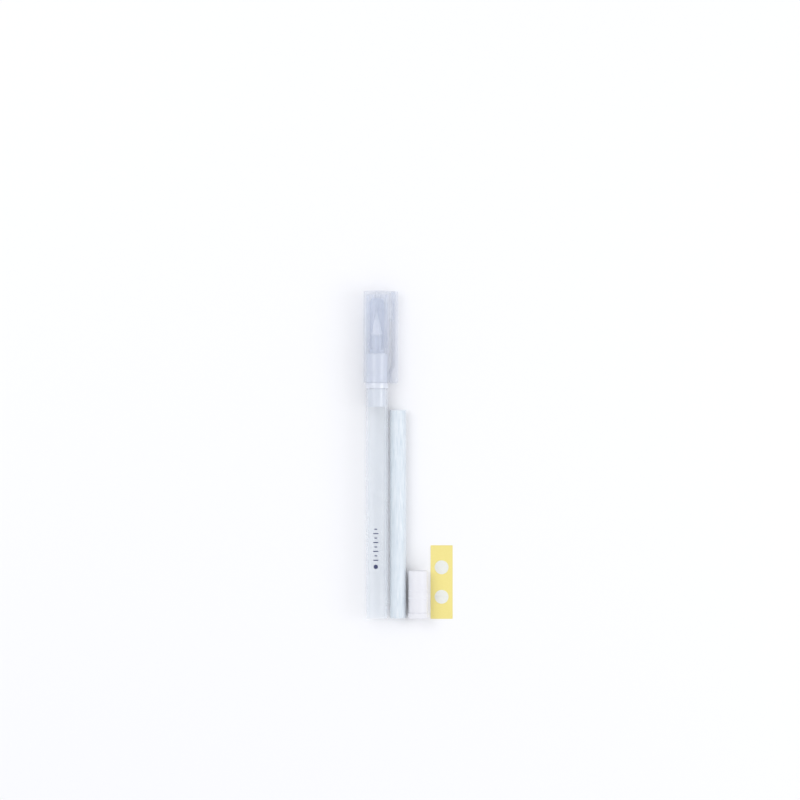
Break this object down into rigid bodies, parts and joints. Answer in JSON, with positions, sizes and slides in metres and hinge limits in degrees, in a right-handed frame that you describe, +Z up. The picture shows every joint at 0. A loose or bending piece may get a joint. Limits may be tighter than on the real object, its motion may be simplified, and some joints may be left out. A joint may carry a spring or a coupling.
{
  "type": "brush pen",
  "caption": "Translucent capped fine brush pen without ink, with its loose fibre ink core, white hollow tail plug and a small sheet of round stickers beside it.",
  "frame": {"origin": "on the surface that the pen lies on, below the middle of the whole layout's box", "axes": "+Y along the pen towards its nib and cap, +X from the pen towards the core, plug and sheet, +Z up"},
  "size_m": [0.0374, 0.1376, 0.0111],
  "materials": {
    "barrel_plastic": "frosted, see-through",
    "print": "printed film",
    "grip_plastic": "frosted, see-through",
    "nib": "soft brush fibre",
    "cap_plastic": "frosted, see-through",
    "core_film": "thin film",
    "core_fibre": "bundled fibre",
    "plug_plastic": "satin white",
    "sheet": "yellow release sheet",
    "sticker": "pale label"
  },
  "bodies": {
    "pen": {"barrel": "barrel_plastic", "barrel_gauge": "print", "grip_section": "grip_plastic", "nib_ferrule": "grip_plastic", "brush_nib": "nib"},
    "cap": {"cap_shell": "cap_plastic", "inner_cap": "cap_plastic"},
    "clip": {"pocket_clip": "cap_plastic"},
    "ink_core": {"core_film": "core_film", "core_fibre": "core_fibre"},
    "tail_plug": {"tail_plug": "plug_plastic"},
    "sticker_sheet": {"sticker_sheet": "sheet", "sticker_upper": "sticker", "sticker_lower": "sticker"}
  },
  "joints": [
    {"name": "cap_pull", "type": "slide", "parent": "pen", "child": "cap", "axis": [0, 1, 0], "range_m": [0, 0.05]},
    {"name": "clip_flex", "type": "hinge", "parent": "cap", "child": "clip", "pos_m": [-0.00492, 0.0567, 0.00238], "axis": [0.36, 0, 0.933], "range_deg": [0, 3], "stiffness_Nm_per_rad": 0.5},
    {"name": "core_draw", "type": "slide", "parent": "pen", "child": "ink_core", "axis": [0, -1, 0], "range_m": [0, 0.092]},
    {"name": "plug_draw", "type": "slide", "parent": "pen", "child": "tail_plug", "axis": [0, -1, 0], "range_m": [0, 0.03]},
    {"name": "sheet_slide", "type": "slide", "parent": "pen", "child": "sticker_sheet", "axis": [1, 0, 0], "range_m": [0, 0.02]}
  ]
}
